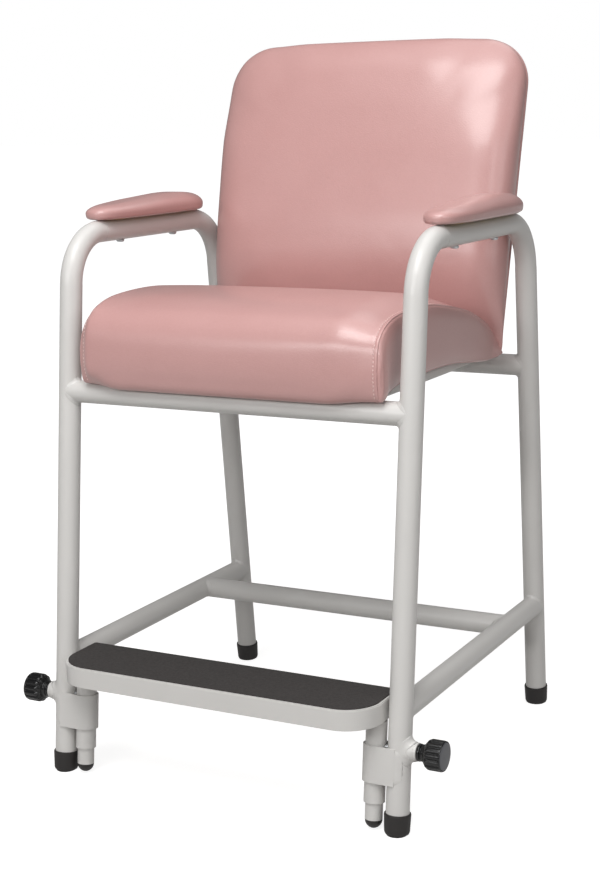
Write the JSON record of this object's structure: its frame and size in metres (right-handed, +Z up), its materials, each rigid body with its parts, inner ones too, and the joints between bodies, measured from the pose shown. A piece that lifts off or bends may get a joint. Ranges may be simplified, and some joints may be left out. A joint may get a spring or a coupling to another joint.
{
  "type": "hip chair",
  "caption": "Tall hip chair: bent steel tube side frames, padded seat, back and arms, and a footrest tray on clamped sliding posts.",
  "frame": {"origin": "on the floor at the centre of the overall bounding box", "axes": "+Z up; the chair faces -Y; +X is the sitter's left"},
  "size_m": [0.6528, 0.6069, 1.0288],
  "materials": {
    "powder_coat": "satin pale grey powder coat on steel tube",
    "vinyl": "soft dusty rose upholstery vinyl",
    "plywood": "sanded plywood",
    "mat_rubber": "fine grained anti-slip mat",
    "tip_rubber": "moulded matt rubber",
    "knob_plastic": "moulded glossy black plastic",
    "plug_plastic": "moulded black plastic",
    "zinc_steel": "zinc plated steel"
  },
  "bodies": {
    "frame": {"left_side_frame": "powder_coat", "right_side_frame": "powder_coat", "front_cross_tube": "powder_coat", "rear_cross_tube": "powder_coat", "left_seat_rail": "powder_coat", "right_seat_rail": "powder_coat", "left_side_stretcher": "powder_coat", "right_side_stretcher": "powder_coat", "rear_stretcher": "powder_coat", "left_back_upright": "powder_coat", "right_back_upright": "powder_coat", "left_upright_cap": "plug_plastic", "right_upright_cap": "plug_plastic", "left_guide_tube": "powder_coat", "right_guide_tube": "powder_coat", "left_guide_strap": "powder_coat", "right_guide_strap": "powder_coat", "left_clamp_bush": "powder_coat", "right_clamp_bush": "powder_coat", "front_left_foot_tip": "tip_rubber", "front_right_foot_tip": "tip_rubber", "rear_left_foot_tip": "tip_rubber", "rear_right_foot_tip": "tip_rubber", "seat_board": "plywood", "seat_cushion": "vinyl", "seat_screws": "zinc_steel", "back_board": "plywood", "back_cushion": "vinyl", "back_bolts": "zinc_steel", "left_arm_board": "plywood", "right_arm_board": "plywood", "left_arm_pad": "vinyl", "right_arm_pad": "vinyl", "arm_screws": "zinc_steel"},
    "footrest": {"footrest_tray": "powder_coat", "footrest_mat": "mat_rubber", "left_footrest_post": "powder_coat", "right_footrest_post": "powder_coat", "left_post_plug": "plug_plastic", "right_post_plug": "plug_plastic"},
    "left_screw": {"left_clamp_stud": "zinc_steel", "left_knob": "knob_plastic"},
    "right_screw": {"right_clamp_stud": "zinc_steel", "right_knob": "knob_plastic"},
    "left_tip": {"left_clamp_tip": "zinc_steel"},
    "right_tip": {"right_clamp_tip": "zinc_steel"}
  },
  "joints": [
    {"name": "footrest_slide", "type": "slide", "parent": "frame", "child": "footrest", "axis": [0, 0.1054, 0.9944], "range_m": [0, 0.075]},
    {"name": "left_screw_travel", "type": "slide", "parent": "frame", "child": "left_tip", "axis": [1, 0, 0], "range_m": [0, 0.0038]},
    {"name": "left_knob_turn", "type": "hinge", "parent": "left_tip", "child": "left_screw", "pos_m": [0.3, -0.24317, 0.1135], "axis": [1, 0, 0], "range_deg": [0, 1080]},
    {"name": "right_screw_travel", "type": "slide", "parent": "frame", "child": "right_tip", "axis": [-1, 0, 0], "range_m": [0, 0.0038]},
    {"name": "right_knob_turn", "type": "hinge", "parent": "right_tip", "child": "right_screw", "pos_m": [-0.3, -0.24317, 0.1135], "axis": [-1, 0, 0], "range_deg": [0, 1080]}
  ],
  "couplings": [
    {"joint": "left_screw_travel", "follows": "left_knob_turn", "m_per_rad": 0.00019894},
    {"joint": "right_screw_travel", "follows": "right_knob_turn", "m_per_rad": 0.00019894}
  ]
}
